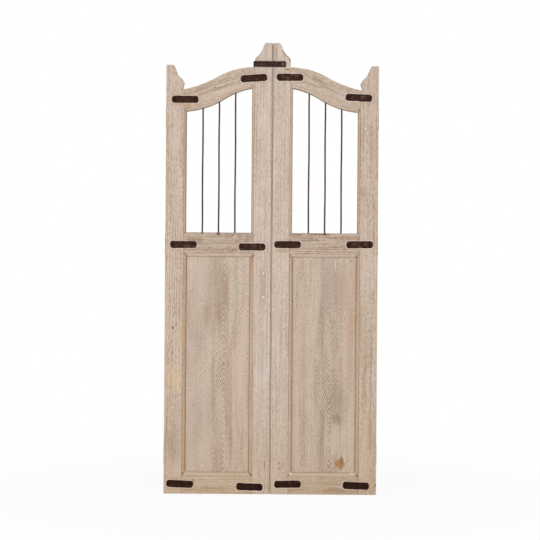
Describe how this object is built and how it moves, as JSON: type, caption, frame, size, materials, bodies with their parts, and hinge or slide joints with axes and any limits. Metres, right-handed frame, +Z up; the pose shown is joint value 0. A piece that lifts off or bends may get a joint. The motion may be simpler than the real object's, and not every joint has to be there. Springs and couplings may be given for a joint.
{
  "type": "double garden gate",
  "caption": "Pair of bleached timber gate leaves with ogee top rails, flat lower panels, iron bars, iron joint straps and a turning latch.",
  "frame": {"origin": "at the foot of the closed gate, midway across its width and depth", "axes": "+Z up along the gate's height, +X to the right seen from the front, front towards -Y"},
  "size_m": [1.006, 0.0643, 2.123],
  "materials": {
    "bleached_timber": "bleached and weathered, open grain, dry and matt",
    "black_iron": "forged, blackened, with thin brown rust",
    "rust_brown_iron": "drawn bar, thinly rusted",
    "hinge_steel": "pressed plate, dulled and browned"
  },
  "bodies": {
    "hung_plates": {"left_hinge_top_wall_plate": "hinge_steel", "left_hinge_top_pin": "hinge_steel", "left_hinge_mid_wall_plate": "hinge_steel", "left_hinge_mid_pin": "hinge_steel", "left_hinge_bottom_wall_plate": "hinge_steel", "left_hinge_bottom_pin": "hinge_steel", "right_hinge_top_wall_plate": "hinge_steel", "right_hinge_top_pin": "hinge_steel", "right_hinge_mid_wall_plate": "hinge_steel", "right_hinge_mid_pin": "hinge_steel", "right_hinge_bottom_wall_plate": "hinge_steel", "right_hinge_bottom_pin": "hinge_steel"},
    "left_leaf": {"left_outer_stile": "bleached_timber", "left_meeting_stile": "bleached_timber", "left_bottom_rail": "bleached_timber", "left_mid_rail": "bleached_timber", "left_top_rail": "bleached_timber", "left_panel": "bleached_timber", "left_bar_1": "rust_brown_iron", "left_bar_2": "rust_brown_iron", "left_bar_3": "rust_brown_iron", "left_strap_top_outer": "black_iron", "left_strap_top_meeting": "black_iron", "left_strap_mid_outer": "black_iron", "left_strap_mid_meeting": "black_iron", "left_strap_bottom_outer": "black_iron", "left_strap_bottom_meeting": "black_iron", "left_strap_nails": "black_iron", "left_hinge_screws": "hinge_steel", "left_hinge_top_leaf_plate": "hinge_steel", "left_hinge_mid_leaf_plate": "hinge_steel", "left_hinge_bottom_leaf_plate": "hinge_steel"},
    "right_leaf": {"right_outer_stile": "bleached_timber", "right_meeting_stile": "bleached_timber", "right_bottom_rail": "bleached_timber", "right_mid_rail": "bleached_timber", "right_top_rail": "bleached_timber", "right_panel": "bleached_timber", "right_bar_1": "rust_brown_iron", "right_bar_2": "rust_brown_iron", "right_bar_3": "rust_brown_iron", "right_strap_top_outer": "black_iron", "right_strap_top_meeting": "black_iron", "right_strap_mid_outer": "black_iron", "right_strap_mid_meeting": "black_iron", "right_strap_bottom_outer": "black_iron", "right_strap_bottom_meeting": "black_iron", "right_strap_nails": "black_iron", "right_hinge_screws": "hinge_steel", "right_hinge_top_leaf_plate": "hinge_steel", "right_hinge_mid_leaf_plate": "hinge_steel", "right_hinge_bottom_leaf_plate": "hinge_steel", "latch_screw": "black_iron"},
    "latch": {"latch_strap": "black_iron"}
  },
  "joints": [
    {"name": "left_leaf_swing", "type": "hinge", "parent": "hung_plates", "child": "left_leaf", "pos_m": [-0.498, 0.0275, 1], "axis": [0, 0, 1], "range_deg": [0, 110]},
    {"name": "right_leaf_swing", "type": "hinge", "parent": "hung_plates", "child": "right_leaf", "pos_m": [0.498, 0.0275, 1], "axis": [0, 0, -1], "range_deg": [0, 110]},
    {"name": "latch_lift", "type": "hinge", "parent": "right_leaf", "child": "latch", "pos_m": [0.048, -0.025, 2.0233], "axis": [0, 1, 0], "range_deg": [0, 95]}
  ]
}
